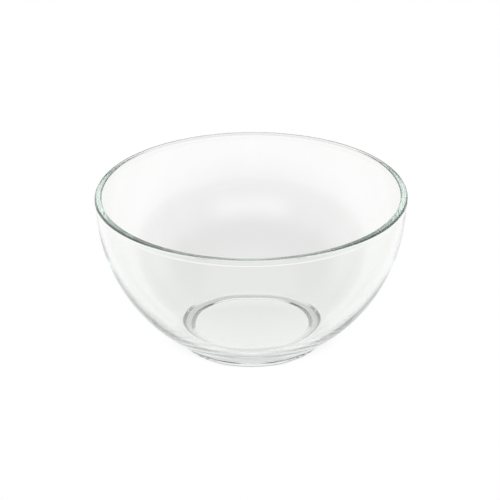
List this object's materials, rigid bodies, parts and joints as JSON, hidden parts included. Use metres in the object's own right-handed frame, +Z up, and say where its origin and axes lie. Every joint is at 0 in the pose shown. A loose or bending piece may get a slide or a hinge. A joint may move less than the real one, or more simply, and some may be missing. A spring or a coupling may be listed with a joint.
{
  "type": "footed glass bowl",
  "caption": "Clear glass bowl with a rounded, nearly hemispherical wall, a fire-polished bead rim, a flat floor and a low foot ring to stand on.",
  "frame": {"origin": "centre of the foot ring's resting face, on the table", "axes": "+Z up along the bowl's axis of revolution; X and Y across the bowl, alike in every direction"},
  "size_m": [0.23, 0.23, 0.1165],
  "materials": {
    "clear_glass": "fire-polished clear soda-lime glass, faintly green through its edges"
  },
  "bodies": {
    "root": {"rim": "clear_glass", "upper_wall": "clear_glass", "lower_wall": "clear_glass", "heel": "clear_glass", "base": "clear_glass", "foot": "clear_glass"}
  },
  "joints": []
}
